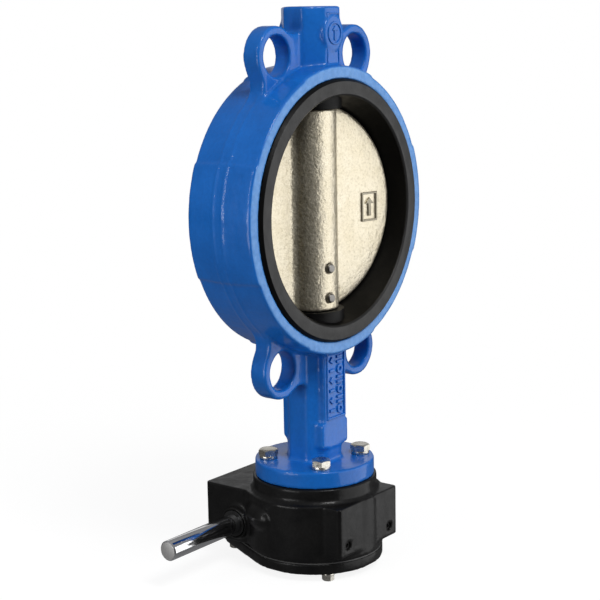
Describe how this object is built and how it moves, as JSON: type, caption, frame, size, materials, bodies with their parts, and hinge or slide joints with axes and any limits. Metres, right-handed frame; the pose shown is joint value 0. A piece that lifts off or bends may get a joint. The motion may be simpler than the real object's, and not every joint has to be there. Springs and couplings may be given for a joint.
{
  "type": "butterfly valve",
  "caption": "Wafer butterfly valve: a rubber-lined ring and disc on one stem, turned by a worm gear operator with a bare input shaft.",
  "frame": {"origin": "centre of the bore, where the pipe axis crosses the stem axis", "axes": "+Y along the pipe, away from the face shown first; +Z along the stem, away from the gearbox; the input shaft points to -X"},
  "size_m": [0.223, 0.1282, 0.4156],
  "materials": {
    "body_paint": "gloss blue epoxy on cast iron",
    "liner_rubber": "matte black EPDM",
    "disc_nickel": "nickel-plated as-cast surface",
    "stem_steel": "ground stainless steel",
    "pin_steel": "plain steel",
    "bush_bronze": "bronze, turned",
    "seal_rubber": "matte black nitrile",
    "case_paint": "semi-gloss black on cast iron",
    "gasket_sheet": "matte grey sheet",
    "zinc_plate": "zinc-plated",
    "black_screw": "blackened steel",
    "wheel_iron": "machined ductile iron",
    "worm_steel": "hobbed steel",
    "shaft_chrome": "polished chrome plate",
    "indicator_plate": "satin"
  },
  "bodies": {
    "valve": {"valve_body": "body_paint", "seat_liner": "liner_rubber", "boss_bush": "bush_bronze", "neck_bush_inner": "bush_bronze", "neck_bush_outer": "bush_bronze", "stem_seals": "seal_rubber", "gearbox_housing": "case_paint", "gearbox_cover": "case_paint", "cover_gasket": "gasket_sheet", "flange_bolts": "zinc_plate", "flange_spring_washers": "zinc_plate", "cover_screws": "zinc_plate", "cover_washers": "zinc_plate", "stop_screws": "black_screw", "worm_bush_outer": "bush_bronze", "worm_bush_inner": "bush_bronze", "shaft_seal": "seal_rubber", "worm_thrust_washers": "bush_bronze", "worm_end_plug": "black_screw"},
    "stem_train": {"stem": "stem_steel", "disc": "disc_nickel", "disc_pins": "pin_steel", "stem_key": "pin_steel", "wheel_sector": "wheel_iron", "position_indicator": "indicator_plate", "indicator_screws": "zinc_plate"},
    "input_shaft": {"worm_shaft": "shaft_chrome", "worm": "worm_steel", "worm_pin": "pin_steel"}
  },
  "joints": [
    {"name": "stem_turn", "type": "hinge", "parent": "valve", "child": "stem_train", "pos_m": [0, 0, 0], "axis": [0, 0, -1], "range_deg": [-10.6, 79.4]},
    {"name": "worm_spin", "type": "hinge", "parent": "valve", "child": "input_shaft", "pos_m": [0, 0.045, -0.238], "axis": [-1, 0, 0], "range_deg": [-349.8, 2620.2]}
  ],
  "couplings": [
    {"joint": "worm_spin", "follows": "stem_turn", "ratio": 33}
  ]
}
